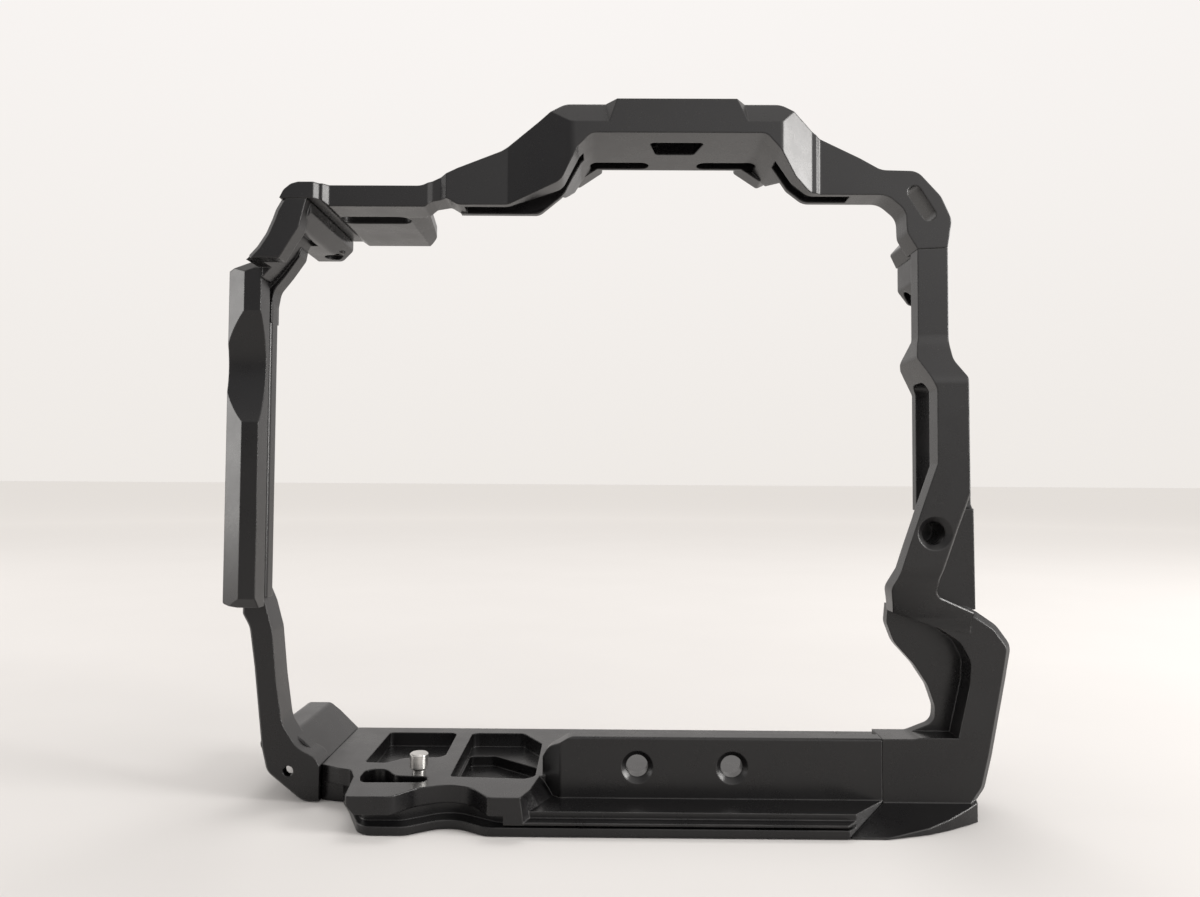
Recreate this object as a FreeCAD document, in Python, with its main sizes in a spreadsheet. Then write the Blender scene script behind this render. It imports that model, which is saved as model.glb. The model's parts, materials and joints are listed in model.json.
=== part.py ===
"""Camera cage: a bolted frame of machined aluminium pieces around a camera with a vertical grip.

Frame: +X to the right seen from the front, +Y from front to back, +Z up.
The origin is the middle of the bounding box at the bottom of the base plate. All sizes are in mm.
"""
import FreeCAD
import Part
import Sketcher

import math
import os

Vector = FreeCAD.Vector
doc = FreeCAD.newDocument("camera_cage")
sheet = doc.addObject("Spreadsheet::Sheet", "Sizes")

# Driving dimensions: places along Y are depths behind the middle of the cage, levels are heights
SIZES = [
    ("cage_front", -27.0),
    ("cage_back", 27.0),
    ("lip_height", 1.9),
    ("ledge_under", 2.6),
    ("ledge_top", 3.1),
    ("groove_top", 4.6),
    ("plate_top", 8.7),
    ("wall_front", -16.0),
    ("pocket_floor", 4.9),
    ("slot_floor", 2.2),
    ("block_front", -26.5),
    ("bar_back", -13.5),
    ("hump_front", -27.0),
    ("hump_back", -2.5),
    ("corner_front", -23.5),
    ("top_plate_back", 14.0),
    ("rail_front", -14.0),
    ("rail_bottom", 48.2),
    ("rail_top", 133.5),
    ("rail_end_bevel", 2.4),
    ("band_bevel", 1.3),
    ("lobe_bevel", 1.5),
    ("block_bevel", 0.5),
    ("scoop_radius", 24.0),
    ("scoop_depth", 4.2),
    ("scoop_level", 107.0),
    ("arm_front", -7.0),
    ("arm_thick", 8.0),
    ("port_bar_back", -16.4),
    ("pad_front", -10.3),
    ("lobe_back", 3.0),
    ("thread_minor_radius", 2.6),
    ("thread_rim_radius", 4.4),
    ("camera_screw_radius", 3.1),
    ("pin_radius", 2.2),
    ("pin_neck_radius", 1.6),
    ("pin_top", 13.6),
    ("joint_screw_radius", 1.5),
    ("joint_head_radius", 2.5),
    ("hole_clearance", 0.05),
]
for row, (alias, value) in enumerate(SIZES, start=1):
    sheet.set("A%d" % row, alias)
    sheet.set("B%d" % row, str(value))
    sheet.setAlias("B%d" % row, alias)
doc.recompute()


def size(alias):
    return float(sheet.get(alias))


# Sketch planes: local x and y become the two named axes, and the extrusion follows the third
PLANES = {
    "front": (FreeCAD.Rotation(Vector(1, 0, 0), 90), Vector(0, 1, 0), "y"),
    "plan": (FreeCAD.Rotation(), Vector(0, 0, 1), "z"),
    "side": (FreeCAD.Rotation(Vector(1, 1, 1), 120), Vector(1, 0, 0), "x"),
}


def bind(obj, prop, value):
    """Ties a property to a number or to an expression over the sheet."""
    if isinstance(value, str):
        obj.setExpression(prop, value)
    else:
        obj.setExpression(prop, "%f" % value)


def rounded(points):
    """Lines and arcs through the points; a third value is the corner's rounding radius."""
    count = len(points)
    corners = []
    for i, point in enumerate(points):
        here = Vector(point[0], point[1], 0)
        before = Vector(points[i - 1][0], points[i - 1][1], 0)
        after = Vector(points[(i + 1) % count][0], points[(i + 1) % count][1], 0)
        radius = point[2] if len(point) > 2 else 0
        into = (before - here).normalize()
        out = (after - here).normalize()
        turn = into.getAngle(out)
        if radius == 0 or turn > math.pi - 0.02:
            corners.append((here, None, here))
            continue
        reach = radius / math.tan(turn / 2)
        limit = 0.48 * min((before - here).Length, (after - here).Length)
        if reach > limit:
            reach = limit
            radius = reach * math.tan(turn / 2)
        bisector = (into + out).normalize()
        centre = here + bisector * (radius / math.sin(turn / 2))
        middle = centre - bisector * radius
        corners.append((here + into * reach, middle, here + out * reach))
    edges = []
    for i, (start, middle, end) in enumerate(corners):
        if middle is not None:
            edges.append(Part.Arc(start, middle, end))
        following = corners[(i + 1) % count][0]
        if (following - end).Length > 1e-6:
            edges.append(Part.LineSegment(end, following))
    return edges


def outline(name, plane, points, start):
    """A closed sketch on one of the three planes, moved along its normal to start."""
    rotation, _, letter = PLANES[plane]
    sketch = doc.addObject("Sketcher::SketchObject", name + "_outline")
    sketch.Placement = FreeCAD.Placement(Vector(), rotation)
    sketch.addGeometry(rounded(points), False)
    bind(sketch, "Placement.Base." + letter, start)
    return sketch


def prism(name, plane, points, start, end):
    """The outline extruded from one place to another along its plane's normal."""
    sketch = outline(name, plane, points, start)
    solid = doc.addObject("Part::Extrusion", name)
    solid.Base = sketch
    solid.DirMode = "Custom"
    solid.Dir = PLANES[plane][1]
    solid.Solid = True
    bind(solid, "LengthFwd", "(%s) - (%s)" % (end, start))
    return solid


def box(name, low, high):
    """A box between two corners; each coordinate is a number or an expression."""
    solid = doc.addObject("Part::Box", name)
    for axis, prop, a, b in zip("xyz", ("Length", "Width", "Height"), low, high):
        bind(solid, "Placement.Base." + axis, a)
        bind(solid, prop, "(%s) - (%s)" % (b, a))
    return solid


AXES = {
    "x": FreeCAD.Rotation(Vector(0, 1, 0), 90),
    "y": FreeCAD.Rotation(Vector(1, 0, 0), -90),
    "z": FreeCAD.Rotation(),
}


def rod(name, axis, base, radius, length, top_radius=None):
    """A cylinder, or a cone if top_radius is given, from base along an axis."""
    kind = "Part::Cylinder" if top_radius is None else "Part::Cone"
    solid = doc.addObject(kind, name)
    solid.Placement = FreeCAD.Placement(Vector(), AXES[axis])
    for letter, value in zip("xyz", base):
        bind(solid, "Placement.Base." + letter, value)
    bind(solid, "Height", length)
    if top_radius is None:
        bind(solid, "Radius", radius)
    else:
        bind(solid, "Radius1", radius)
        bind(solid, "Radius2", top_radius)
    return solid


def fuse(name, solids):
    joined = doc.addObject("Part::MultiFuse", name)
    joined.Shapes = solids
    joined.Refine = True
    return joined


def common(name, solids):
    shared = doc.addObject("Part::MultiCommon", name)
    shared.Shapes = solids
    return shared


def cut(name, base, tools):
    tool = tools[0] if len(tools) == 1 else fuse(name + "_tools", tools)
    result = doc.addObject("Part::Cut", name)
    result.Base = base
    result.Tool = tool
    result.Refine = True
    return result


def bevel(name, base, depth, wanted):
    """Chamfers the edges whose bounding box and middle the test accepts."""
    doc.recompute()
    result = doc.addObject("Part::Chamfer", name)
    result.Base = base
    chosen = []
    for number, edge in enumerate(base.Shape.Edges, start=1):
        if wanted(edge.BoundBox, edge.BoundBox.Center):
            chosen.append((number, depth, depth))
    result.Edges = chosen
    return result


def in_plane(value, low, high):
    return abs(low - value) < 0.02 and abs(high - value) < 0.02


# Top frame: one outline from the front, cut to depth by its plan
TOP_OUTLINE = [
    (-78.2, 145.3), (-77.3, 147.2, 2.5), (-75.6, 148.6, 2.0), (-73.9, 149.1, 2.0), (-45.5, 149.1, 4.0),
    (-37.0, 153.2, 8.0), (-26.5, 157.3, 6.0), (-17.5, 163.2, 6.0), (-11.5, 167.5, 4.0), (38.8, 167.5, 4.0),
    (48.0, 160.8, 5.0), (58.0, 156.0, 8.0), (63.0, 153.2, 5.0), (71.5, 153.0, 4.0), (77.0, 147.0, 5.0),
    (79.5, 141.5, 4.0), (78.5, 134.9), (71.4, 134.5), (69.0, 138.5, 3.0), (68.8, 143.6, 4.0),
    (64.5, 147.3, 5.0), (46.0, 147.3, 4.0),
    (42.0, 150.4, 3.0), (38.2, 156.0, 2.0), (35.0, 159.6, 2.5), (-5.2, 159.6, 2.5), (-8.2, 156.6, 2.0),
    (-12.2, 148.8, 3.5), (-25.0, 144.5, 6.0), (-36.8, 144.5, 2.5), (-39.5, 146.1, 1.5), (-43.0, 145.5, 1.2),
    (-44.6, 144.1, 1.0), (-67.3, 144.1, 1.0), (-69.0, 145.3),
]
TOP_PLAN = [
    (-78.5, -23.5), (-70.3, -23.5), (-69.3, -22.3), (-68.6, -22.3), (-67.3, -21.0), (-44.0, -21.0),
    (-43.0, -20.4), (-41.0, -20.4), (-39.6, -21.4), (-25.0, -21.4), (-10.0, -27.0, 6.0), (38.6, -27.0, 1.5),
    (46.5, -22.0, 0.8), (47.6, -21.8, 0.5), (48.6, -21.0, 0.8), (81.0, -21.0),
    (81.0, -13.5), (40.5, -13.5), (38.6, -2.5, 2.0), (-9.6, -2.5, 2.0), (-12.5, -13.5), (-45.6, -13.5),
    (-48.4, 14.0, 2.0), (-78.5, 14.0, 2.0),
]
SHOULDER_FLANGE = [
    (-37.0, 144.25), (-18.0, 144.2, 3.0), (-12.4, 148.8, 4.0), (-6.5, 159.4), (-6.5, 161.5), (-14.0, 158.0),
    (-37.0, 148.5),
]


def hump_bevel(name, far, near, low_corner, shoulder):
    """The sloped face along the hump's top front edge; it stops at the plain middle field."""
    low = 162.2
    top = 167.5
    front = size("hump_front")
    behind = front + 3.2
    above = top + 1.0
    slope = (behind - front) / (top - low)
    flat = [
        (far, front - 1.0, low - 1.0 / slope), (low_corner, front - 1.0, low - 1.0 / slope),
        (near, front - 1.0, above), (far, front - 1.0, above),
        (far, behind + slope, above), (shoulder, behind + slope, above),
    ]
    points = [Vector(*p) for p in flat]
    faces = [(0, 1, 2, 3), (0, 1, 5, 4), (3, 2, 5, 4), (0, 3, 4), (1, 2, 5)]
    polygons = []
    for face in faces:
        ring = [points[i] for i in face]
        polygons.append(Part.Face(Part.makePolygon(ring + [ring[0]])))
    shape = Part.makeSolid(Part.makeShell(polygons))
    if shape.Volume < 0:
        shape.reverse()
    wedge = doc.addObject("Part::Feature", name)
    wedge.Shape = shape
    return wedge


def make_top_frame():
    blank = prism("top_blank", "front", TOP_OUTLINE, "Sizes.cage_front", "Sizes.top_plate_back")
    plan = prism("top_plan", "plan", TOP_PLAN, 130.0, 172.0)
    body = common("top_body", [blank, plan])
    lug = prism("top_lug", "front", [
        (72.7, 134.5), (71.1, 137.9, 0.8), (74.4, 141.6, 1.5), (77.5, 144.5, 1.5), (79.3, 141.5, 2.0),
        (78.5, 134.9),
    ], "Sizes.bar_back - 0.5", -2.0)
    ears = []
    for name, mirror in (("left", -1), ("right", 1)):
        middle = 14.3
        ears.append(prism("top_ear_" + name, "front", [
            (middle + mirror * 17.2, 165.5), (middle + mirror * 17.2, 160.4, 0.8),
            (middle + mirror * 23.2, 156.4, 1.0), (middle + mirror * 25.4, 157.4, 1.0),
            (middle + mirror * 23.8, 165.5),
        ], "Sizes.hump_back - 1", "Sizes.hump_back + 4.5"))
    flange = prism("top_flange", "front", SHOULDER_FLANGE, -15.2, "Sizes.bar_back")
    joined = fuse("top_joined", [body, lug, flange] + ears)
    plate_end = prism("top_plate_end", "front", [
        (-50.8, 143.6), (-47.9, 146.6), (-44.0, 146.6), (-44.0, 143.6)], -12.0, 16.0)
    shoe_pocket = prism("top_shoe_pocket", "plan", [
        (8.3, -20.9, 1.0), (21.5, -20.9, 1.0), (19.6, -13.2, 1.2), (10.2, -13.2, 1.2),
    ], 159.0, 163.0)
    rail_slots = [
        prism("top_slot_port", "plan", [
            (21.0, -7.9, 2.2), (37.2, -7.9), (37.2, -3.4), (21.0, -3.4, 2.2)], 159.0, 162.5),
        prism("top_slot_grip", "plan", [
            (8.9, -7.9, 2.2), (-8.0, -7.9), (-8.0, -3.4), (8.9, -3.4, 2.2)], 159.0, 162.5),
    ]
    plate_slot = prism("top_plate_slot", "plan", [
        (-68.0, -12.8, 2.9), (-50.3, -12.8, 2.9), (-50.3, -6.9, 2.9), (-68.0, -6.9, 2.9),
    ], 143.0, 150.0)
    strap_slot = prism("top_strap_slot", "front", [
        (68.6, 148.4, 1.6), (71.4, 150.2, 1.6), (76.4, 142.3, 1.6), (73.7, 140.5, 1.6),
    ], -30.0, 0.0)
    shoulder_grooves = [
        prism("top_groove_grip", "front", [
            (-35.5, 143.0), (-24.5, 143.0), (-15.0, 146.0), (-11.0, 149.5), (-7.0, 157.0),
            (-8.2, 159.5), (-14.5, 149.7), (-25.0, 146.3), (-35.5, 146.3),
        ], -19.6, -15.0),
        prism("top_groove_port", "front", [
            (37.0, 155.0), (41.0, 148.5), (45.5, 146.0), (56.0, 146.0), (56.0, 149.0), (46.8, 149.0),
            (43.5, 151.4), (40.0, 157.0),
        ], -19.6, -15.0),
    ]
    slopes = [
        hump_bevel("top_slope_grip", -30.0, 1.8, -0.9, -2.2),
        hump_bevel("top_slope_port", 60.0, 27.0, 31.0, 30.3),
    ]
    holes = joint_holes("top_left", up=True) + joint_holes("top_right", up=True)
    dowels = dowel_holes("top_left") + dowel_holes("top_right")
    cutters = [plate_end, shoe_pocket, plate_slot, strap_slot] + rail_slots + shoulder_grooves + slopes
    return cut("top_frame", joined, cutters + holes + dowels)


# Joint screws: each seam's screws as (x, y, z of the head's face), the way they point, and lengths
JOINTS = {
    "top_left": {"axis": "z", "sign": 1, "heads": [(-75.4, 9.5, 140.6)], "length": 7.0},
    "top_right": {"axis": "z", "sign": 1, "heads": [(75.9, -6.4, 128.8)], "length": 10.5},
    "bottom_left": {"axis": "x", "sign": 1, "heads": [(-79.8, 6.0, 5.6), (-79.8, 19.0, 5.6)], "length": 15.0},
    "bottom_right": {"axis": "x", "sign": -1, "heads": [(83.0, 1.0, 4.6), (83.0, 18.0, 4.6)], "length": 26.0},
    "rail": {"axis": "x", "sign": 1, "heads": [(-94.0, -4.5, 64.5), (-94.0, -4.5, 117.0)], "length": 7.6},
}
DOWELS = {
    "top_left": {"axis": "z", "centres": [(-75.2, -15.5), (-75.2, 2.0)], "low": 142.2, "high": 147.6},
    "top_right": {"axis": "z", "centres": [(75.4, -12.0)], "low": 131.0, "high": 138.0},
}
HEAD_DEPTH = 1.7
DOWEL_RADIUS = 1.0


def along(axis, sign, point, reach):
    """The point moved by reach along a signed axis."""
    moved = list(point)
    moved["xyz".index(axis)] += sign * reach
    return tuple(moved)


def screw_rod(name, seam, head, radius, start, length):
    """A cylinder on a joint screw's line, from start behind the head's face."""
    joint = JOINTS[seam]
    base = along(joint["axis"], joint["sign"], head, start)
    if joint["sign"] < 0:
        base = along(joint["axis"], -1, base, length)
    return rod(name, joint["axis"], base, radius, length)


def joint_holes(seam, up=False, head=False):
    """Clearance holes for a seam's screws, with a counterbore where the head sits."""
    holes = []
    for number, place in enumerate(JOINTS[seam]["heads"], start=1):
        part = "%s_%s_hole_%d" % (seam, "far" if up else "near", number)
        length = JOINTS[seam]["length"]
        wide = "Sizes.joint_screw_radius + Sizes.hole_clearance"
        holes.append(screw_rod(part, seam, place, wide, -1.0, length + 1.3))
        if head:
            holes.append(screw_rod(part + "_sink", seam, place, "Sizes.joint_head_radius + 0.1", -9.0,
                                   9.0 + HEAD_DEPTH))
    return holes


def dowel_rod(name, seam, centre, radius, spare):
    dowel = DOWELS[seam]
    return rod(name, dowel["axis"], (centre[0], centre[1], dowel["low"] - spare), radius,
               dowel["high"] - dowel["low"] + 2 * spare)


def dowel_holes(seam):
    part = seam + "_dowel_hole_%d_%d"
    made = len([o for o in doc.Objects if o.Name.startswith(seam + "_dowel_hole")])
    return [dowel_rod(part % (made, i), seam, c, DOWEL_RADIUS + size("hole_clearance"), 0.2)
            for i, c in enumerate(DOWELS[seam]["centres"])]


def make_dowels(seam):
    pins = [dowel_rod("%s_dowel_%d" % (seam, i), seam, c, DOWEL_RADIUS, 0.0)
            for i, c in enumerate(DOWELS[seam]["centres"])]
    return group(seam + "_dowels", pins)


def group(name, solids):
    """Identical separate solids kept in one node."""
    node = doc.addObject("Part::Compound", name)
    node.Links = solids
    return node


def make_joint_screws(seam):
    """Socket head screws: a plain shank, a low head and a hexagonal recess."""
    joint = JOINTS[seam]
    screws = []
    for number, place in enumerate(joint["heads"], start=1):
        part = "%s_screw_%d" % (seam, number)
        shank = screw_rod(part + "_shank", seam, place, "Sizes.joint_screw_radius", HEAD_DEPTH - 0.2,
                          joint["length"] - HEAD_DEPTH)
        head = screw_rod(part + "_head", seam, place, "Sizes.joint_head_radius", 0.0, HEAD_DEPTH)
        socket = doc.addObject("Part::Prism", part + "_socket")
        socket.Polygon = 6
        socket.Circumradius = 1.2
        socket.Height = 2.2
        base = along(joint["axis"], joint["sign"], place, -1.0)
        if joint["sign"] < 0:
            base = along(joint["axis"], -1, base, 2.2)
        socket.Placement = FreeCAD.Placement(Vector(*base), AXES[joint["axis"]])
        screws.append(cut(part, fuse(part + "_solid", [shank, head]), [socket]))
    return group("rail_screws" if seam == "rail" else seam + "_screws", screws)


# Left arm: a hollow-backed upper band, a thin middle behind the rail, a lower band and a corner
UPPER_BAND = [
    (-78.1, 145.15), (-79.4, 142.8, 3.0), (-80.2, 140.5, 3.0), (-81.6, 137.2, 5.0), (-83.6, 134.1, 5.0),
    (-85.5, 132.0), (-84.8, 131.2), (-78.0, 131.2), (-75.5, 135.3, 5.0), (-73.6, 138.3, 4.0),
    (-72.6, 142.4, 3.0), (-71.9, 145.15),
]
UPPER_SKIN = [
    (-78.1, 145.15), (-80.2, 140.5, 3.0), (-82.0, 136.6, 6.0), (-86.0, 131.6, 4.0), (-89.7, 128.6),
    (-89.7, 125.0), (-87.6, 126.4), (-83.4, 131.0, 4.0), (-79.8, 135.6, 5.0), (-77.6, 140.5, 3.0),
    (-75.4, 145.15),
]
UPPER_RIB = [
    (-80.0, 140.3), (-78.6, 138.0, 1.0), (-79.0, 135.6, 2.0), (-82.2, 131.0, 6.0), (-85.2, 127.2, 4.0),
    (-85.85, 123.5, 4.0), (-85.85, 119.0), (-89.6, 119.0), (-89.6, 128.2), (-86.2, 131.2), (-82.2, 136.2),
]
RAIL_SEAT = [
    (-97.0, -14.2), (-85.6, -14.2), (-85.6, -8.2), (-89.7, -7.3), (-89.7, 7.4), (-97.0, 7.4),
]
MID_SECTION = [
    (-89.7, -7.0), (-85.8, -7.0, 1.0), (-85.8, -2.8, 1.0), (-87.6, -1.2, 0.8), (-89.7, -1.2),
]
LOWER_BAND = [
    (-91.8, 48.0), (-91.8, 46.0, 1.5), (-90.0, 42.8, 6.0), (-88.6, 33.0, 10.0), (-86.4, 13.0, 8.0),
    (-85.0, 7.2, 4.0), (-76.0, 0.0, 4.0), (-71.9, 0.0), (-71.9, 8.7), (-73.0, 10.8, 3.0), (-77.6, 13.2, 6.0),
    (-81.4, 19.0, 8.0), (-83.0, 30.0, 10.0), (-84.2, 42.0, 6.0), (-86.0, 48.5, 4.0), (-88.3, 53.8, 3.0),
    (-88.3, 58.0), (-89.7, 58.0), (-89.7, 48.0),
]
CORNER_REAR = [
    (-85.0, 7.2, 4.0), (-76.0, 0.0, 4.0), (-71.9, 0.0), (-71.9, 8.7), (-77.0, 13.6, 1.5), (-79.8, 15.8, 2.0),
    (-86.0, 15.8, 2.0), (-88.6, 13.4, 2.0),
]


def make_left_arm():
    arm_front = size("arm_front")
    band_front = size("corner_front")
    blank = prism("arm_band", "front", UPPER_BAND, "Sizes.corner_front", "Sizes.corner_front + 4.6")
    front_band = bevel("arm_band_bevelled", blank, size("band_bevel"),
                       lambda b, c: in_plane(band_front, b.YMin, b.YMax) and c.z > 132.2 and c.x < -78.4)
    skin = cut("arm_skin_short", prism("arm_skin", "front", UPPER_SKIN, "Sizes.corner_front + 2", -2.0), [
        box("arm_skin_end", (-97.0, -24.0, 110.0), (-78.0, "Sizes.rail_front - 0.2", 131.2))])
    rib = prism("arm_rib", "front", UPPER_RIB, "Sizes.arm_front", -2.1)
    near_lug = prism("arm_lug", "front", [
        (-79.3, 142.0), (-76.0, 139.7), (-74.5, 139.7, 2.0), (-71.7, 142.6, 1.5), (-71.7, 145.15),
        (-78.0, 145.15),
    ], "Sizes.corner_front + 3", -1.9)
    far_lug = prism("arm_lug_far", "front", [
        (-82.4, 141.4, 1.0), (-81.2, 139.7), (-74.5, 139.7, 2.0), (-71.7, 142.6, 1.5), (-71.7, 145.15),
        (-82.4, 145.15, 2.0),
    ], -2.0, "Sizes.top_plate_back")
    middle = prism("arm_middle", "plan", MID_SECTION, 50.0, 128.8)
    lower = prism("arm_lower", "front", LOWER_BAND, "Sizes.arm_front", "Sizes.arm_front + Sizes.arm_thick")
    corner = prism("arm_corner", "front", CORNER_REAR, "Sizes.arm_front + 4", "Sizes.cage_back")
    joined = fuse("arm_joined", [front_band, skin, rib, near_lug, far_lug, middle, lower, corner])
    seat = prism("arm_rail_seat", "plan", RAIL_SEAT, "Sizes.rail_bottom - 0.1", "Sizes.rail_top + 0.4")
    lanyard = rod("arm_lanyard_hole", "y", (-79.6, -12.0, 7.5), 1.3, 12.0)
    lanyard_back = rod("arm_lanyard_pocket", "y", (-81.0, -4.4, 6.6), 4.2, 8.0)
    holes = joint_holes("top_left", head=True) + joint_holes("bottom_left", head=True)
    holes += joint_holes("rail", up=True)
    cutters = [seat, lanyard, lanyard_back] + holes + dowel_holes("top_left")
    solid = cut("arm_cut", joined, cutters)
    return bevel("left_arm", solid, 0.6,
                 lambda b, c: in_plane(arm_front, b.YMin, b.YMax) and c.z < 42 and c.x < -85.5)


def make_rail():
    section = [
        (-95.1, -10.5), (-89.9, -14.0), (-85.8, -14.0), (-85.8, -8.4), (-89.85, -7.6), (-89.85, 7.2),
        (-95.1, 7.2),
    ]
    bar = prism("rail_bar", "plan", section, "Sizes.rail_bottom", "Sizes.rail_top")
    ends = prism("rail_ends", "front", [
        (-97.0, 130.2), (-85.0, 134.6), (-85.0, 138.0), (-97.0, 138.0),
    ], -16.0, 10.0)
    foot = prism("rail_foot", "front", [
        (-97.0, 51.2), (-94.8, 49.0), (-91.0, 48.2), (-91.0, 47.0), (-97.0, 47.0),
    ], -16.0, 10.0)
    trimmed = cut("rail_trimmed", bar, [ends, foot])
    front = size("rail_front")
    bevelled = bevel("rail_bevelled", trimmed, size("rail_end_bevel"),
                     lambda b, c: in_plane(front, b.YMin, b.YMax) and b.ZMax - b.ZMin < 3.0)
    scoop = rod("rail_scoop", "x", (-98.0, "Sizes.rail_front + Sizes.scoop_depth - Sizes.scoop_radius",
                                    "Sizes.scoop_level"), "Sizes.scoop_radius", 14.0)
    clamp_groove = prism("rail_clamp_groove", "plan", [
        (-93.4, 8.0), (-93.4, 7.2), (-92.0, 5.8), (-90.6, 5.8), (-90.6, 8.0)], 40.0, 140.0)
    return cut("accessory_rail", bevelled, [scoop, clamp_groove] + joint_holes("rail", head=True))


# Right arm: layers from the front outline, each cut to its own depth
PORT_NEAR = [
    (71.4, 134.4), (78.5, 134.75), (78.5, 108.0, 4.0), (80.9, 103.6, 2.0), (81.0, 76.3), (78.4, 69.4),
    (74.4, 58.0, 3.0), (74.9, 53.6, 3.0), (80.5, 51.2), (85.0, 49.3), (85.0, 44.0), (66.6, 47.0),
    (65.2, 51.6, 2.0), (63.9, 55.4, 3.0), (67.2, 65.4), (71.0, 76.4), (73.7, 84.0), (73.7, 101.0, 2.0),
    (71.6, 105.4, 3.0), (70.2, 108.5, 2.0), (71.4, 113.5, 3.0),
]
PORT_NEAR_SIDE = [
    (-21.0, 136.0), (-21.0, 112.6, 6.0), (-26.5, 103.4, 4.0), (-26.5, 58.5, 6.0), (-16.2, 46.5, 5.0),
    (-16.2, 40.0), (-11.0, 40.0), (-14.5, 50.0), (-22.0, 60.0), (-22.0, 72.0), (-10.0, 73.0), (-10.0, 107.0),
    (-16.4, 113.0), (-16.4, 136.0),
]
PORT_FILL = [
    (67.8, 56.2), (69.3, 62.0), (69.9, 67.0), (71.0, 70.6), (72.9, 76.0), (80.4, 76.0), (78.0, 69.6),
    (75.6, 62.5), (74.0, 57.8), (74.2, 56.2),
]
PORT_FILL_REAR = [
    (70.5, 51.5), (72.5, 60.0), (74.8, 68.0), (76.8, 76.0), (80.4, 76.0), (78.0, 69.6), (75.6, 62.5),
    (73.9, 57.6), (74.4, 53.9), (76.0, 51.5),
]
PORT_REAR = [
    (77.4, 101.4), (84.6, 101.4), (86.7, 98.8), (86.9, 75.0), (87.1, 49.4), (70.0, 47.4), (71.4, 54.0),
    (74.6, 66.0), (77.2, 76.0),
]
LOBE = [
    (84.8, 50.0), (87.0, 49.0, 2.0), (91.7, 45.8, 6.0), (95.2, 41.0, 4.0), (93.8, 33.0, 12.0),
    (90.4, 15.0, 14.0), (88.6, 7.4, 5.0), (86.4, 4.3), (64.15, 4.3), (64.15, 19.1),
    (72.2, 19.1, 4.0), (78.5, 21.6, 3.0), (78.7, 25.4, 4.0), (77.0, 30.4, 6.0), (73.7, 35.4, 5.0),
    (68.8, 40.8, 6.0), (67.0, 45.6, 3.0), (67.4, 50.0),
]
LOBE_REAR = [
    (85.0, 47.0), (90.5, 44.0, 5.0), (93.0, 39.5, 4.0), (92.0, 33.0, 10.0), (89.0, 15.0, 12.0),
    (87.0, 7.0, 4.0), (84.5, 3.0), (70.0, 3.0), (70.0, 13.0, 2.0), (76.5, 14.6, 2.0), (82.8, 19.0, 3.0),
    (83.0, 23.5, 4.0), (81.0, 28.6, 5.0), (77.6, 33.8, 5.0), (72.6, 39.4, 5.0), (71.0, 44.5, 3.0), (71.4, 47.0),
]
PAD = [
    (56.0, 51.6), (65.0, 49.6), (71.5, 47.2, 8.0), (78.0, 45.0, 8.0), (82.8, 41.8, 5.0), (85.2, 37.2, 4.0),
    (84.9, 32.0, 6.0), (82.1, 19.4), (56.0, 19.4),
]
FOOT_PLAN = [
    (64.15, -16.05), (53.8, -26.4), (62.4, -26.4, 4.0), (72.3, -23.6, 8.0), (77.9, -21.0, 8.0),
    (83.8, -17.6, 6.0), (86.4, -15.9), (86.4, 27.0, 3.0), (64.15, 27.0),
]
FOOT_SIDE = [
    (-26.4, 0.0), (-26.4, 0.3), (-16.0, 4.35), (-12.0, 6.5), (-4.0, 8.7), (27.0, 8.7), (27.0, 0.0),
]


def make_right_arm():
    near_blank = common("port_near", [
        prism("port_near_blank", "front", PORT_NEAR, -30.0, 10.0),
        prism("port_near_depth", "side", PORT_NEAR_SIDE, 50.0, 100.0)])
    block_front = size("block_front")
    near = bevel("port_near_bevelled", near_blank, size("block_bevel"),
                 lambda b, c: in_plane(block_front, b.YMin, b.YMax) and c.x > 74.0 and 60.0 < c.z < 76.4)
    lug = prism("port_lug", "front", [
        (72.7, 128.2, 1.5), (75.4, 124.6, 1.5), (78.5, 124.6), (78.5, 134.75), (72.7, 134.4)],
        "Sizes.port_bar_back - 1", -3.0)
    fill = prism("port_fill", "front", PORT_FILL, -22.5, -16.5)
    fill_rear = prism("port_fill_rear", "front", PORT_FILL_REAR, -16.8, -13.8)
    panel = prism("port_panel", "front", PORT_REAR, -14.0, -6.0)
    lobe_front = size("wall_front")
    lobe_blank = prism("port_lobe", "front", LOBE, "Sizes.wall_front", -7.5)
    lobe = bevel("port_lobe_bevelled", lobe_blank, size("lobe_bevel"),
                 lambda b, c: in_plane(lobe_front, b.YMin, b.YMax) and c.x > 87.6 and 6.5 < c.z < 41.5)
    lobe_rear = prism("port_lobe_rear", "front", LOBE_REAR, -8.5, "Sizes.lobe_back")
    foot = common("port_foot", [
        prism("port_foot_blank", "plan", FOOT_PLAN, 0.0, 9.0),
        prism("port_foot_depth", "side", FOOT_SIDE, 50.0, 100.0)])
    joined = fuse("port_joined", [near, lug, fill, fill_rear, panel, lobe, lobe_rear, foot])
    block_back = prism("port_block_back", "front", [
        (64.0, 69.6), (73.7, 69.6), (73.7, 84.0), (64.0, 84.0)], -21.9, -9.0)
    pad = prism("port_pad", "front", PAD, -30.0, "Sizes.pad_front")
    clamp_slot = prism("port_clamp_slot", "side", [
        (-21.4, 73.4, 1.5), (-21.4, 103.2, 2.5), (-12.4, 103.2, 2.5), (-12.4, 73.4, 1.5)], 66.0, 92.0)
    thread = rod("port_thread", "y", (73.0, -30.0, 68.2), "Sizes.thread_minor_radius", 12.4)
    rim = rod("port_rim", "y", (73.0, -27.0, 68.2), "Sizes.thread_rim_radius", 1.9, 2.4)
    holes = joint_holes("top_right", head=True) + joint_holes("bottom_right", head=True)
    cutters = [block_back, pad, clamp_slot, thread, rim] + holes + dowel_holes("top_right")
    return cut("right_arm", joined, cutters)


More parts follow.
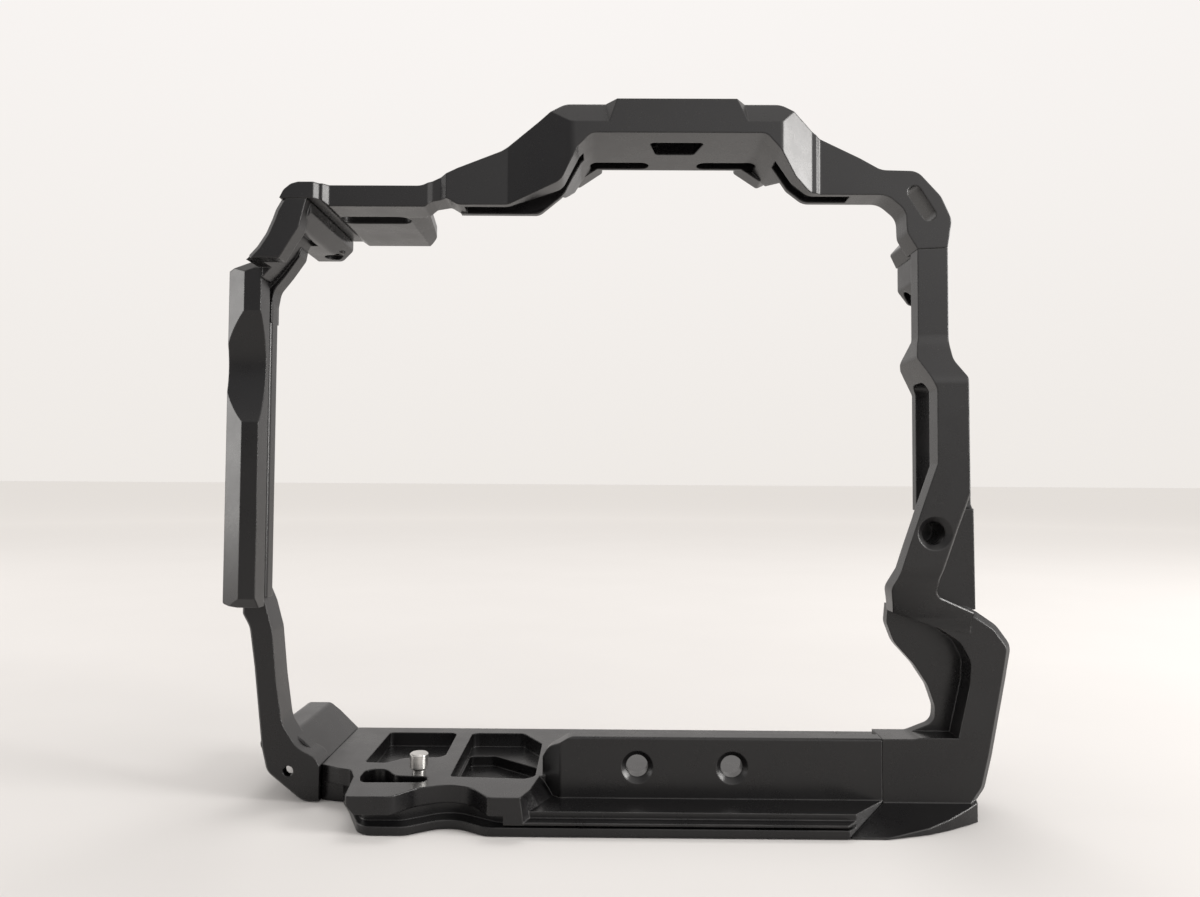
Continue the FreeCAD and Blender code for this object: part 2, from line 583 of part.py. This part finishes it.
# Base plate: layers of its plan, the front wall and the pockets
LIP_PLAN = [
    (-71.75, -5.0), (-66.0, -6.5), (-62.6, -13.0, 4.0), (-56.5, -26.6, 5.0), (-46.0, -26.6, 5.0),
    (-37.0, -21.0, 8.0), (-28.0, -26.6, 6.0), (53.4, -26.6), (64.0, -16.0), (64.0, 27.0), (-71.75, 27.0),
]
GROOVE_PLAN = [
    (-71.75, -5.0), (-66.0, -6.5), (-61.0, -11.0, 2.0), (-57.0, -23.0, 3.0), (-47.5, -23.0, 4.0),
    (-37.0, -17.0, 8.0), (-26.0, -23.4, 6.0), (-20.0, -24.6), (55.4, -24.6), (64.0, -16.0), (64.0, 27.0),
    (-71.75, 27.0),
]
LEDGE_PLAN = [
    (-24.0, -26.9), (53.1, -26.9), (64.0, -16.0), (64.0, -8.0), (-24.0, -8.0),
]
LEDGE_SIDE = [
    (-26.9, "ledge_under"), (-26.9, "ledge_top"), (-16.0, 4.2), (-8.0, 4.2), (-8.0, "ledge_under"),
]
PLATE_PLAN = [
    (-71.75, -5.2), (-66.5, -8.0), (-63.4, -9.0, 2.0), (-61.3, -14.0, 3.0), (-59.6, -27.0, 1.0),
    (-49.3, -27.0, 3.0), (-44.4, -21.2, 5.0), (-38.0, -18.6, 10.0), (-32.2, -20.6, 6.0), (-27.4, -27.0, 1.5),
    (-22.5, -27.0), (-20.6, -14.0), (-19.0, -12.4), (64.0, -12.4), (64.0, 27.0), (-71.75, 27.0),
]
SWEEP_TOP = [
    (-17.0, -8.0), (-17.2, -13.0), (-18.5, -22.0), (-20.3, -27.0), (-24.0, -27.0), (-24.0, -8.0),
]
SWEEP_FOOT = [
    (-11.0, -8.0), (-11.6, -14.0), (-15.4, -20.0), (-19.5, -27.0), (-24.0, -27.0), (-24.0, -8.0),
]
WALL_OUTLINE = [
    (-18.4, 2.3), (64.0, 2.3), (64.0, 19.1), (-9.5, 19.1, 4.0), (-14.8, 16.0, 4.0), (-17.5, 11.0, 4.0),
]
WALL_PLAN = [
    (-18.6, -9.4), (-11.9, -16.0, 1.0), (64.0, -16.0), (64.0, -9.4),
]
WALL_SIDE = [
    (-16.0, 2.1), (-16.0, 18.7), (-15.6, 19.1), (-12.0, 19.1), (-11.6, 18.7), (-11.6, 2.1),
]
POCKET_GRIP = [
    (-61.5, -3.4, 1.0), (-61.5, 22.4, 1.0), (-42.6, 22.4, 2.0), (-42.3, 2.8, 2.0), (-43.6, 1.0, 1.5),
    (-52.3, 0.1, 2.0), (-56.2, -3.8, 2.0),
]
POCKET_BEAN = [
    (-59.8, -14.0, 3.0), (-59.8, -8.4, 2.4), (-54.8, -8.4, 2.6), (-51.6, -13.0, 3.0), (-43.4, -13.6, 1.6),
    (-43.4, -17.6, 1.8), (-58.6, -18.0, 2.0),
]
POCKET_MID = [
    (-38.4, -13.4, 1.0), (-38.4, 22.4, 2.0), (-24.0, 22.4, 2.0), (-18.2, 13.0, 2.0), (-18.0, -12.8, 2.5),
    (-20.2, -14.6, 2.0),
]
POCKET_MID_DEEP = [
    (-37.6, -12.8, 1.0), (-37.6, 14.0, 1.0), (-31.0, 14.4, 3.0), (-18.6, 4.6, 2.0), (-18.6, -12.4, 2.5),
    (-20.6, -14.0, 2.0),
]


def make_base_plate():
    lip = prism("base_lip", "plan", LIP_PLAN, 0.0, "Sizes.lip_height")
    neck = prism("base_neck", "plan", GROOVE_PLAN, "Sizes.lip_height - 0.2", "Sizes.groove_top + 0.2")
    ledge_side = [(y, size(z) if isinstance(z, str) else z) for y, z in LEDGE_SIDE]
    ledge = common("base_ledge", [
        prism("base_ledge_blank", "plan", LEDGE_PLAN, 0.5, 6.0),
        prism("base_ledge_depth", "side", ledge_side, -30.0, 70.0)])
    slab = prism("base_slab", "plan", PLATE_PLAN, "Sizes.groove_top", "Sizes.plate_top")
    corner = prism("base_corner", "front", [
        (-63.0, 4.0), (-57.0, 4.0), (-59.8, 7.4), (-63.0, 7.4)], -30.0, -12.0)
    plate = cut("base_plate_slab", slab, [corner])
    sweep = doc.addObject("Part::Loft", "base_sweep")
    sweep.Sections = [
        outline("base_sweep_foot", "plan", SWEEP_FOOT, "Sizes.ledge_under"),
        outline("base_sweep_top", "plan", SWEEP_TOP, "Sizes.plate_top"),
    ]
    sweep.Solid = True
    sweep.Ruled = True
    under = prism("base_under", "plan", [
        (-20.0, -24.6), (55.4, -24.6), (64.0, -16.0), (64.0, 0.0), (-20.0, 0.0)], 0.5, 3.0)
    wall = common("base_wall", [
        prism("base_wall_blank", "front", WALL_OUTLINE, -20.0, 0.0),
        prism("base_wall_plan", "plan", WALL_PLAN, 2.0, 22.0),
        prism("base_wall_depth", "side", WALL_SIDE, -30.0, 70.0)])
    joined = fuse("base_joined", [lip, neck, ledge, plate, sweep, under, wall])
    pockets = [
        prism("base_pocket_grip", "plan", POCKET_GRIP, "Sizes.pocket_floor", 10.0),
        prism("base_pocket_bean", "plan", POCKET_BEAN, "Sizes.slot_floor", 10.0),
        prism("base_pocket_mid", "plan", POCKET_MID, "Sizes.pocket_floor", 10.0),
        prism("base_pocket_deep", "plan", POCKET_MID_DEEP, "Sizes.slot_floor", 10.0),
    ]
    pin_bore = rod("base_pin_bore", "z", PIN_PLACE + (2.4,), "Sizes.pin_neck_radius + 0.02", 8.0)
    threads = []
    for number, place in enumerate(WALL_THREADS, start=1):
        threads.append(rod("base_thread_%d" % number, "y", (place, -20.0, 12.1),
                           "Sizes.thread_minor_radius", 14.0))
        threads.append(rod("base_rim_%d" % number, "y", (place, -16.6, 12.1),
                           "Sizes.thread_rim_radius", 2.0, 2.4))
    bores = [
        rod("base_head_bore", "z", SCREW_PLACE + (-0.5,), 7.4, HEAD_BORE_TOP + 0.5),
        rod("base_screw_bore", "z", SCREW_PLACE + (0.0,), 3.4, 12.0),
        rod("base_ring_bore", "z", SCREW_PLACE + (RING_BORE_FLOOR,), 4.9, 6.0),
    ]
    holes = joint_holes("bottom_left", up=True) + joint_holes("bottom_right", up=True)
    return cut("base_plate", joined, pockets + [pin_bore] + threads + bores + holes)


WALL_THREADS = (6.3, 28.7)
SCREW_PLACE = (15.2, 6.0)
PIN_PLACE = (-46.3, -11.2)
HEAD_BORE_TOP = 4.6
RING_BORE_FLOOR = 6.7


def turned(name, points):
    """A body of revolution about Z from a half section (radius, height), made in a PartDesign body."""
    body = doc.addObject("PartDesign::Body", name + "_body")
    sketch = body.newObject("Sketcher::SketchObject", name + "_section")
    plane = [f for f in body.Origin.OriginFeatures if f.Role == "XZ_Plane"][0]
    sketch.AttachmentSupport = (plane, "")
    sketch.MapMode = "FlatFace"
    sketch.addGeometry(rounded(points), False)
    doc.recompute()
    turn = body.newObject("PartDesign::Revolution", name + "_turned")
    turn.Profile = sketch
    turn.ReferenceAxis = (sketch, ["V_Axis"])
    turn.Angle = 360
    body.Tip = turn
    doc.recompute()
    return body


def make_camera_screw():
    """1/4 inch camera screw: slotted flat head below, a groove for its ring, threaded end above."""
    radius = size("camera_screw_radius")
    body = turned("camera_screw", [
        (0.0, 0.8), (6.5, 0.8), (7.0, 1.3), (7.0, 3.2), (radius, 3.2), (radius, 6.75), (2.4, 6.75),
        (2.4, 7.45), (radius, 7.45), (radius, 11.2), (2.5, 11.8), (0.0, 11.8),
    ])
    slot = box("camera_screw_slot", (-9.0, -0.8, 0.0), (9.0, 0.8, 2.2))
    screw = cut("camera_screw", body, [slot])
    screw.Placement = FreeCAD.Placement(Vector(SCREW_PLACE[0], SCREW_PLACE[1], 0), FreeCAD.Rotation())
    return screw


def make_ring():
    """Retaining ring in the screw's groove, resting on the web of the base plate."""
    outer = rod("ring_outer", "z", (0.0, 0.0, 6.8), 4.5, 0.6)
    inner = rod("ring_inner", "z", (0.0, 0.0, 6.0), 2.45, 3.0)
    ring = cut("retaining_ring", outer, [inner])
    ring.Placement = FreeCAD.Placement(Vector(SCREW_PLACE[0], SCREW_PLACE[1], 0), FreeCAD.Rotation())
    return ring


def make_pin():
    """Steel locating pin with a necked foot pressed in the plate."""
    top = size("pin_top")
    wide = size("pin_radius")
    thin = size("pin_neck_radius")
    body = turned("locating_pin", [
        (0.0, 2.6), (thin, 2.6), (thin, 9.7), (wide, 10.2), (wide, top - 0.25), (wide - 0.25, top), (0.0, top),
    ])
    body.Label = "locating_pin"
    body.Placement = FreeCAD.Placement(Vector(PIN_PLACE[0], PIN_PLACE[1], 0), FreeCAD.Rotation())
    return body


nodes = {
    "top_frame": make_top_frame(),
    "left_arm": make_left_arm(),
    "accessory_rail": make_rail(),
    "right_arm": make_right_arm(),
    "base_plate": make_base_plate(),
    "camera_screw": make_camera_screw(),
    "retaining_ring": make_ring(),
    "locating_pin": make_pin(),
    "top_left_dowels": make_dowels("top_left"),
    "top_right_dowels": make_dowels("top_right"),
}
for seam in JOINTS:
    name = "rail_screws" if seam == "rail" else seam + "_screws"
    nodes[name] = make_joint_screws(seam)

doc.recompute()
failed = [o.Name for o in doc.Objects if "Invalid" in o.State or "Error" in o.State]
if failed:
    raise RuntimeError("these objects failed: " + ", ".join(failed))
os.makedirs("parts", exist_ok=True)
for name, node in nodes.items():
    shape = node.Shape
    if shape.isNull() or not shape.isValid():
        raise RuntimeError(name + " has no valid shape")
    node.Label = name
    bounds = shape.BoundBox
    print("%-22s solids %d volume %9.1f  x %.1f..%.1f y %.1f..%.1f z %.1f..%.1f" % (
        name, len(shape.Solids), shape.Volume, bounds.XMin, bounds.XMax, bounds.YMin, bounds.YMax,
        bounds.ZMin, bounds.ZMax))
    shape.exportStep(os.path.join("parts", name + ".step"))
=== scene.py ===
"""Looks of the camera cage: satin black anodised aluminium, bare steel pin and screw, a pale table."""

import json
import math

import bpy
from mathutils import Matrix, Vector

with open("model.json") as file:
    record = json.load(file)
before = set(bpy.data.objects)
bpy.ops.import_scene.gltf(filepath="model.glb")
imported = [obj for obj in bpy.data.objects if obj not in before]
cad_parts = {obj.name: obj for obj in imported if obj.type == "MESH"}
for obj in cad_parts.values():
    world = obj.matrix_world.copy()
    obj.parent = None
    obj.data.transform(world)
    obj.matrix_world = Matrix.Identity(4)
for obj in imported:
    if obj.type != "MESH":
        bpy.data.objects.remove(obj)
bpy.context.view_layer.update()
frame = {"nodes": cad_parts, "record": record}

# The photograph's camera: its place in metres, its lens in pixels of the picture, its angles in radians
CAMERA_PLACE = (-0.0015, -0.224, 0.0798)
FOCAL_PIXELS = 870.0
PICTURE_WIDTH = 1200.0
CAMERA_PITCH = math.atan(31.5 / FOCAL_PIXELS)
CAMERA_YAW = math.atan(6.0 / FOCAL_PIXELS)
CAMERA_ROLL = 0.006
SENSOR_WIDTH = 36.0
CLIP_NEAR = 0.01
CLIP_FAR = 20.0

# The materials' skins, as linear red, green and blue
ANODISED_DARK = (0.0032, 0.0030, 0.0034)
ANODISED_LIGHT = (0.0060, 0.0056, 0.0058)
ANODISED_SPECK = (0.06, 0.058, 0.056)
ANODISED_WORN = (0.12, 0.118, 0.115)
STEEL_DARK = (0.50, 0.49, 0.47)
STEEL_LIGHT = (0.66, 0.65, 0.63)
OXIDE_DARK = (0.022, 0.022, 0.025)
OXIDE_LIGHT = (0.05, 0.046, 0.043)
OXIDE_WORN = (0.22, 0.21, 0.20)
# Table colours: the first two are the mottled table darkened as painted shade around the cage; the last is
# the plain pale table at a distance
TABLE_SHADED_DARK = (0.68, 0.665, 0.655)
TABLE_SHADED_LIGHT = (0.70, 0.685, 0.675)
TABLE_FAR = (0.97, 0.95, 0.93)

# The rounding that edges seem to have and the depth of the grain, in metres
MACHINED_EDGE = 0.00045
TURNED_EDGE = 0.00015
GRAIN_DEPTH = 0.00003
BEVEL_SAMPLES = 6
ANODISED_IOR = 1.45

# The table top, in metres; it lies just under the cage
TABLE_SIZE = 30.0
TABLE_LEVEL = -0.0002

# The studio: the backdrop that the camera sees, the light on dull surfaces, and the room in reflections
HORIZON_COLOUR = (0.86, 0.825, 0.79)
ZENITH_COLOUR = (0.95, 0.92, 0.90)
ROOM_LIGHT = (0.80, 0.775, 0.75)
ROOM_BEHIND = (0.86, 0.83, 0.81)
FRONT_LOW_GRIP = (0.10, 0.10, 0.11)
FRONT_LOW_PORT = (1.05, 1.02, 1.00)
FRONT_HIGH_GRIP = (0.55, 0.54, 0.55)
FRONT_HIGH_PORT = (2.30, 2.24, 2.20)

# The lamps: name, direction seen from the cage, width and height in metres, radiance
CAGE_MIDDLE = (0.0, 0.0, 0.09)
WINDOW_COLOUR = (1.0, 0.98, 0.96)
WINDOWS = (
    ("port_window", (0.93, -0.26, 0.22), 0.35, 0.60, 17.0),
    ("top_window", (0.0, 0.40, 0.92), 0.45, 0.35, 4.4),
    ("grip_window", (-0.99, 0.0, 0.12), 0.45, 0.45, 4.5),
)

# The colour sockets of Blender's mix node
MIX_SHARE, MIX_FIRST, MIX_SECOND, MIX_RESULT = 0, 6, 7, 2


def new_material(name):
    material = bpy.data.materials.new(name)
    material.use_nodes = True
    tree = material.node_tree
    tree.nodes.clear()
    return material, tree


def fill(tree, socket, value):
    """Links the socket to a value that is a socket itself, and otherwise sets it."""
    if isinstance(value, bpy.types.NodeSocket):
        tree.links.new(value, socket)
    else:
        socket.default_value = value


def add(tree, kind, **inputs):
    """A node with its sockets filled by name."""
    node = tree.nodes.new(kind)
    for key, value in inputs.items():
        fill(tree, node.inputs[key.replace("_", " ")], value)
    return node


def noise(tree, place, scale, detail=3.0, roughness=0.5):
    node = add(tree, "ShaderNodeTexNoise", Vector=place, Scale=scale, Detail=detail, Roughness=roughness)
    return node.outputs["Fac"]


def spread(tree, value, low=0.0, high=1.0, start=0.3, end=0.7):
    """The value between start and end becomes low to high."""
    node = add(tree, "ShaderNodeMapRange", Value=value, From_Min=start, From_Max=end, To_Min=low, To_Max=high)
    return node.outputs["Result"]


def maths(tree, operation, first, second):
    node = tree.nodes.new("ShaderNodeMath")
    node.operation = operation
    for socket, value in zip(node.inputs, (first, second)):
        fill(tree, socket, value)
    return node.outputs["Value"]


def mix_colour(tree, share, first, second):
    """The first colour where the share is 0 and the second where it is 1."""
    node = tree.nodes.new("ShaderNodeMix")
    node.data_type = "RGBA"
    fill(tree, node.inputs[MIX_SHARE], share)
    for socket, value in ((node.inputs[MIX_FIRST], first), (node.inputs[MIX_SECOND], second)):
        fill(tree, socket, (*value, 1.0) if isinstance(value, tuple) else value)
    return node.outputs[MIX_RESULT]


def rounded_normal(tree, radius):
    """The normal as if the edges were rounded."""
    rounded = tree.nodes.new("ShaderNodeBevel")
    rounded.samples = BEVEL_SAMPLES
    rounded.inputs["Radius"].default_value = radius
    return rounded.outputs["Normal"]


def edge_turn(tree, normal):
    """How far a rounded normal turns from the flat one."""
    plain = tree.nodes.new("ShaderNodeNewGeometry")
    dot = tree.nodes.new("ShaderNodeVectorMath")
    dot.operation = "DOT_PRODUCT"
    tree.links.new(normal, dot.inputs[0])
    tree.links.new(plain.outputs["Normal"], dot.inputs[1])
    return maths(tree, "SUBTRACT", 1.0, dot.outputs["Value"])


def close_surface(tree, shader, colour):
    """Links the colour into the shader and the shader into the material's output."""
    tree.links.new(colour, shader.inputs["Base Color"])
    output = tree.nodes.new("ShaderNodeOutputMaterial")
    tree.links.new(shader.outputs["BSDF"], output.inputs["Surface"])


def black_anodised():
    """Fine bead-blasted grain under a black anodised skin, slightly rubbed on the edges."""
    material, tree = new_material("black_anodised")
    place = tree.nodes.new("ShaderNodeTexCoord").outputs["Object"]
    normal = rounded_normal(tree, MACHINED_EDGE)
    turned = edge_turn(tree, normal)
    cloud = noise(tree, place, scale=28.0, detail=4.0)
    grain = noise(tree, place, scale=5200.0, detail=2.0)
    handled = noise(tree, place, scale=110.0, detail=5.0, roughness=0.6)
    specks = spread(tree, noise(tree, place, scale=1900.0, detail=1.0), start=0.72, end=0.80)
    tint = mix_colour(tree, spread(tree, cloud), ANODISED_DARK, ANODISED_LIGHT)
    tint = mix_colour(tree, maths(tree, "MULTIPLY", specks, 0.2), tint, ANODISED_SPECK)
    worn = maths(tree, "MULTIPLY", spread(tree, turned, start=0.02, end=0.30),
                 spread(tree, handled, high=0.45, start=0.42, end=0.62))
    colour = mix_colour(tree, worn, tint, ANODISED_WORN)
    rough = maths(tree, "ADD", spread(tree, handled, low=0.21, high=0.30),
                  maths(tree, "MULTIPLY", grain, 0.06))
    bump = add(tree, "ShaderNodeBump", Strength=0.22, Distance=GRAIN_DEPTH, Height=grain, Normal=normal)
    shader = add(tree, "ShaderNodeBsdfPrincipled", Roughness=rough, Metallic=0.0, IOR=ANODISED_IOR,
                 Normal=bump.outputs["Normal"])
    close_surface(tree, shader, colour)
    return material


def turned_steel():
    """Bare stainless steel with fine turning rings along Z."""
    material, tree = new_material("steel")
    place = tree.nodes.new("ShaderNodeTexCoord").outputs["Object"]
    normal = rounded_normal(tree, TURNED_EDGE)
    stretch = add(tree, "ShaderNodeMapping", Vector=place, Scale=(90.0, 90.0, 6500.0))
    rings = noise(tree, stretch.outputs["Vector"], scale=1.0, detail=3.0)
    stain = noise(tree, place, scale=240.0, detail=4.0)
    colour = mix_colour(tree, spread(tree, stain), STEEL_DARK, STEEL_LIGHT)
    rough = maths(tree, "ADD", spread(tree, rings, low=0.22, high=0.34),
                  maths(tree, "MULTIPLY", stain, 0.08))
    bump = add(tree, "ShaderNodeBump", Strength=0.25, Distance=GRAIN_DEPTH, Height=rings, Normal=normal)
    shader = add(tree, "ShaderNodeBsdfPrincipled", Roughness=rough, Metallic=1.0,
                 Normal=bump.outputs["Normal"])
    close_surface(tree, shader, colour)
    return material


def black_steel():
    """Black oxide screws: darker and a little oily, with an uneven skin."""
    material, tree = new_material("black_steel")
    place = tree.nodes.new("ShaderNodeTexCoord").outputs["Object"]
    normal = rounded_normal(tree, TURNED_EDGE)
    turned = edge_turn(tree, normal)
    skin = noise(tree, place, scale=600.0, detail=4.0)
    worn = maths(tree, "MULTIPLY", spread(tree, turned, start=0.02, end=0.3), spread(tree, skin, high=0.7))
    tint = mix_colour(tree, spread(tree, skin), OXIDE_DARK, OXIDE_LIGHT)
    colour = mix_colour(tree, worn, tint, OXIDE_WORN)
    rough = spread(tree, skin, low=0.28, high=0.42)
    bump = add(tree, "ShaderNodeBump", Strength=0.2, Distance=GRAIN_DEPTH, Height=skin, Normal=normal)
    shader = add(tree, "ShaderNodeBsdfPrincipled", Roughness=rough, Metallic=0.85,
                 Normal=bump.outputs["Normal"])
    close_surface(tree, shader, colour)
    return material


MATERIALS = {
    "black_anodised": black_anodised(),
    "steel": turned_steel(),
    "black_steel": black_steel(),
}
SLOTS = {part["node"]: part["material_slot"] for part in frame["record"]["subparts"]}
for name, piece in frame["nodes"].items():
    piece.data.materials.clear()
    piece.data.materials.append(MATERIALS[SLOTS[name]])
    for polygon in piece.data.polygons:
        polygon.material_index = 0


def make_floor():
    """A pale, faintly mottled table top with painted shade: a little darker around the cage than at a
    distance.
    """
    bpy.ops.mesh.primitive_plane_add(size=TABLE_SIZE, location=(0.0, 0.0, TABLE_LEVEL))
    floor = bpy.context.object
    floor.name = "table_top"
    material, tree = new_material("pale_table")
    place = tree.nodes.new("ShaderNodeTexCoord").outputs["Object"]
    mottle = noise(tree, place, scale=9.0, detail=3.0)
    # Painted shade: the mottled colour close to the cage is darker than the table itself
    painted_shade_near = mix_colour(tree, spread(tree, mottle), TABLE_SHADED_DARK, TABLE_SHADED_LIGHT)
    reach = tree.nodes.new("ShaderNodeVectorMath")
    reach.operation = "LENGTH"
    tree.links.new(place, reach.inputs[0])
    # The painted shade fades out with distance from the cage, leaving the plain pale table
    shade_fade = spread(tree, reach.outputs["Value"], start=0.15, end=1.6)
    colour = mix_colour(tree, shade_fade, painted_shade_near, TABLE_FAR)
    shader = add(tree, "ShaderNodeBsdfPrincipled", Roughness=0.85, Specular_IOR_Level=0.0)
    close_surface(tree, shader, colour)
    floor.data.materials.append(material)


def make_window(name, direction, width, height, radiance):
    """An area light one metre from the cage's middle and square on to it, as bright as the radiance says."""
    data = bpy.data.lights.new(name, "AREA")
    data.shape = "RECTANGLE"
    data.size = width
    data.size_y = height
    data.energy = radiance * math.pi * width * height
    data.color = WINDOW_COLOUR
    light = bpy.data.objects.new(name, data)
    bpy.context.scene.collection.objects.link(light)
    toward = Vector(direction).normalized()
    light.location = Vector(CAGE_MIDDLE) + toward
    light.rotation_mode = "QUATERNION"
    light.rotation_quaternion = (-toward).to_track_quat("-Z", "Y")


def make_world():
    """A pale studio; the front half of its reflection is dim at the grip side and bright at the port side."""
    world = bpy.data.worlds.new("studio")
    bpy.context.scene.world = world
    world.use_nodes = True
    tree = world.node_tree
    tree.nodes.clear()
    direction = tree.nodes.new("ShaderNodeTexCoord").outputs["Generated"]
    split = tree.nodes.new("ShaderNodeSeparateXYZ")
    tree.links.new(direction, split.inputs[0])
    across = spread(tree, split.outputs["X"], start=-0.45, end=0.50)
    low = mix_colour(tree, across, FRONT_LOW_GRIP, FRONT_LOW_PORT)
    high = mix_colour(tree, across, FRONT_HIGH_GRIP, FRONT_HIGH_PORT)
    front = mix_colour(tree, spread(tree, split.outputs["Z"], start=-0.02, end=0.28), low, high)
    behind = spread(tree, split.outputs["Y"], start=-0.75, end=0.15)
    room = mix_colour(tree, behind, front, ROOM_BEHIND)
    height = spread(tree, split.outputs["Z"], start=0.0, end=0.5)
    backdrop = mix_colour(tree, height, HORIZON_COLOUR, ZENITH_COLOUR)
    rays = tree.nodes.new("ShaderNodeLightPath")
    lit = mix_colour(tree, rays.outputs["Is Glossy Ray"], ROOM_LIGHT, room)
    seen = mix_colour(tree, rays.outputs["Is Camera Ray"], lit, backdrop)
    shader = add(tree, "ShaderNodeBackground", Color=seen, Strength=1.0)
    output = tree.nodes.new("ShaderNodeOutputWorld")
    tree.links.new(shader.outputs["Background"], output.inputs["Surface"])


def make_camera():
    """The photograph's camera: level and facing the cage, then turned, tipped up and rolled."""
    data = bpy.data.cameras.new("photo_camera")
    data.sensor_width = SENSOR_WIDTH
    data.lens = FOCAL_PIXELS / PICTURE_WIDTH * SENSOR_WIDTH
    data.clip_start = CLIP_NEAR
    data.clip_end = CLIP_FAR
    camera = bpy.data.objects.new("photo_camera", data)
    bpy.context.scene.collection.objects.link(camera)
    level = Matrix.Rotation(math.pi / 2, 4, "X")
    yaw = Matrix.Rotation(CAMERA_YAW, 4, "Z")
    pitch = Matrix.Rotation(CAMERA_PITCH, 4, "X")
    roll = Matrix.Rotation(CAMERA_ROLL, 4, "Z")
    camera.matrix_world = Matrix.Translation(CAMERA_PLACE) @ yaw @ level @ pitch @ roll
    bpy.context.scene.camera = camera


make_floor()
for window in WINDOWS:
    make_window(*window)
make_world()
make_camera()
bpy.context.scene.view_settings.view_transform = "Standard"
